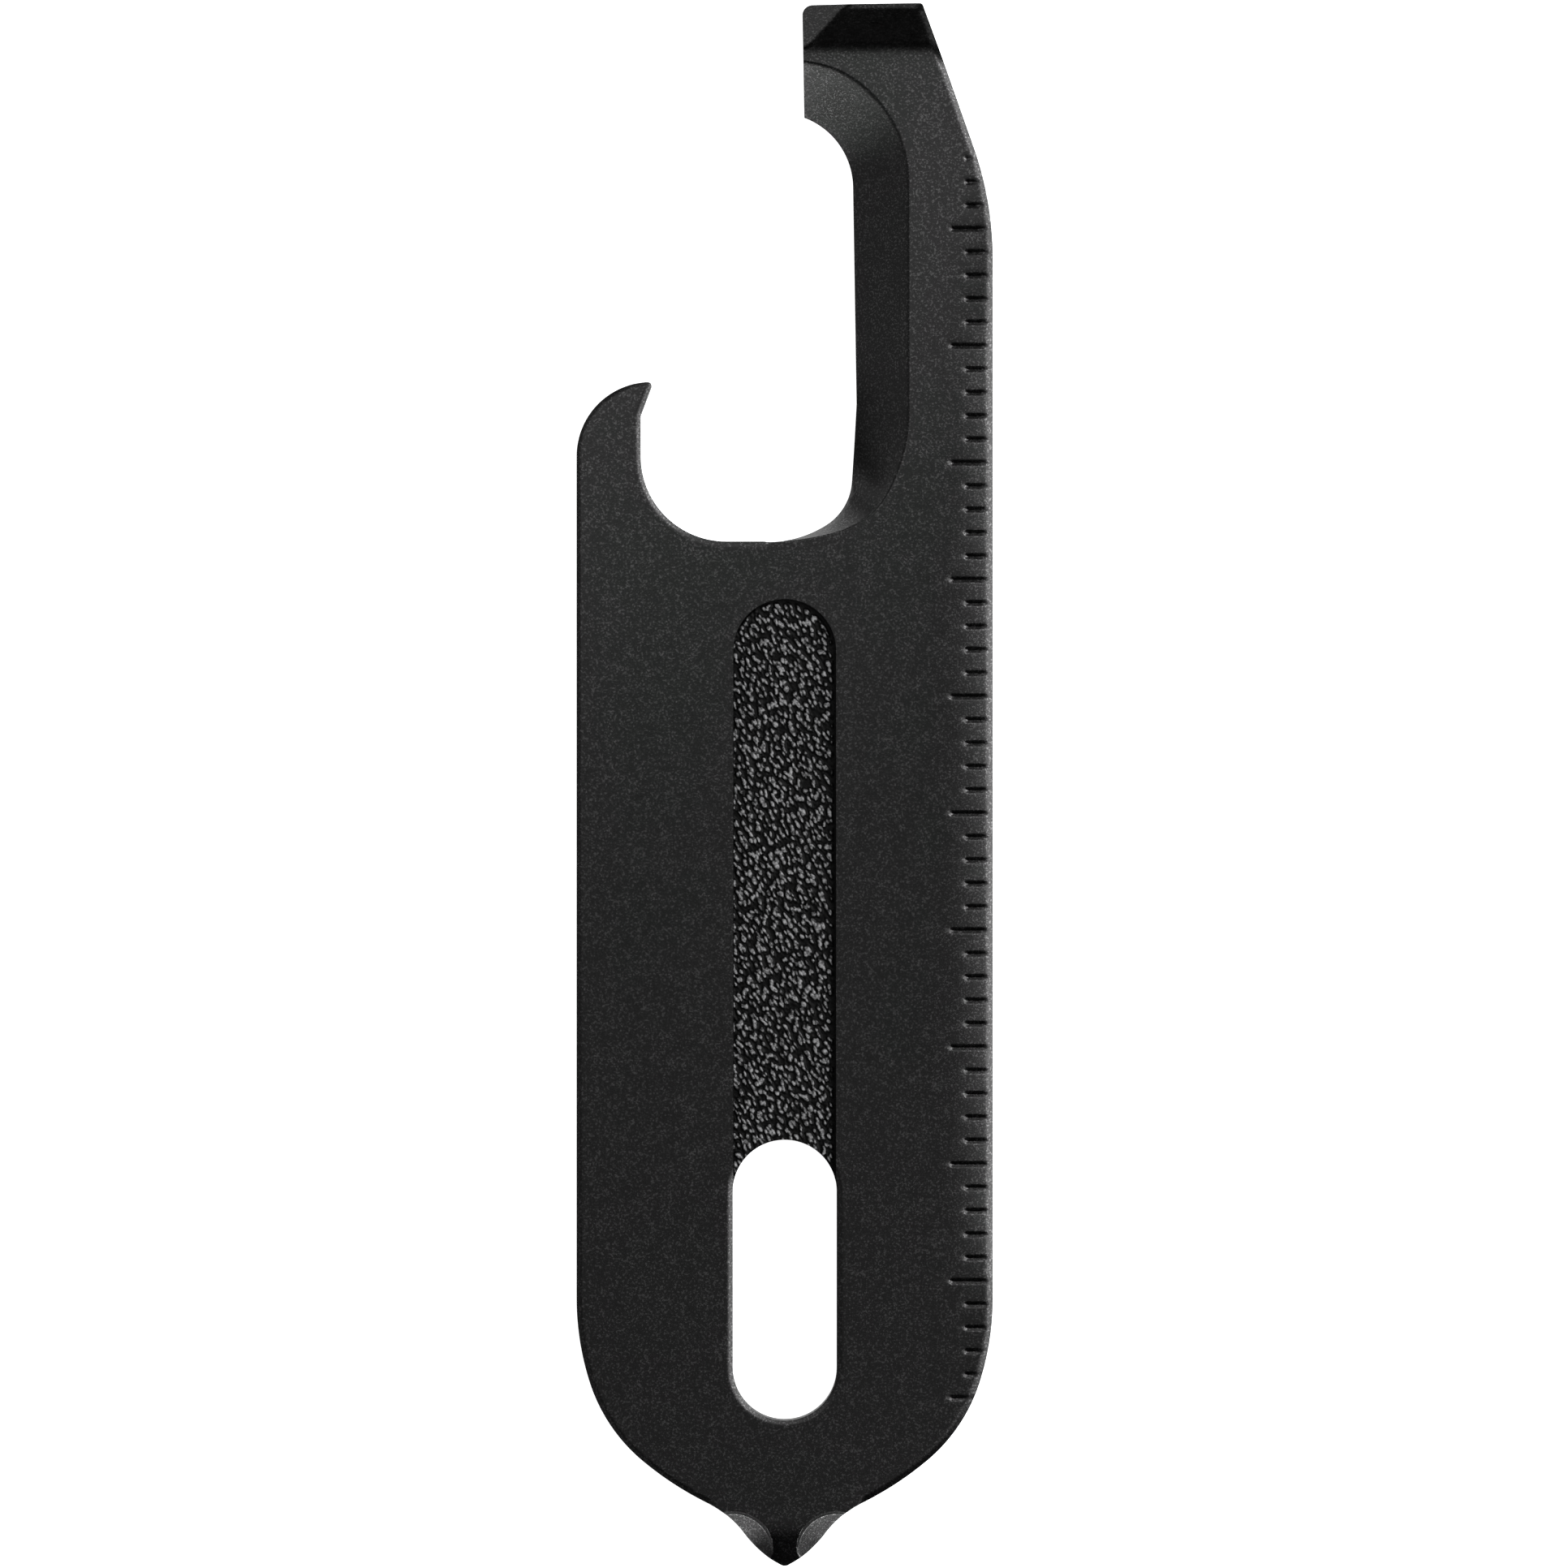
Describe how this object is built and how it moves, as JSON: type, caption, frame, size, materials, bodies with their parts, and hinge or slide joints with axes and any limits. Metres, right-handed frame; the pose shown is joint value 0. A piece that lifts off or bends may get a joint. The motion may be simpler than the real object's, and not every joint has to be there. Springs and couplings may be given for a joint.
{
  "type": "keychain bottle opener",
  "caption": "Flat black steel key-ring tool with an opener mouth, flat and cross-point driver tips, an inlaid nail file, a key-ring slot and an edge ruler.",
  "frame": {"origin": "middle of the tool's width and length, on the flat back face", "axes": "+X across the width towards the ruler edge, +Y along the length towards the flat blade, +Z out of the front face that carries the file and the ruler"},
  "size_m": [0.0178, 0.0668, 0.0022],
  "materials": {
    "black_coated_steel": "matt black hard coating with a very fine grain",
    "file_grain": "coarse chipped file grain under satin black coating",
    "bond_film": "thin cured adhesive film"
  },
  "bodies": {
    "root": {"tool_body": "black_coated_steel", "nail_file_strip": "file_grain", "file_bond_film": "bond_film"}
  },
  "joints": []
}
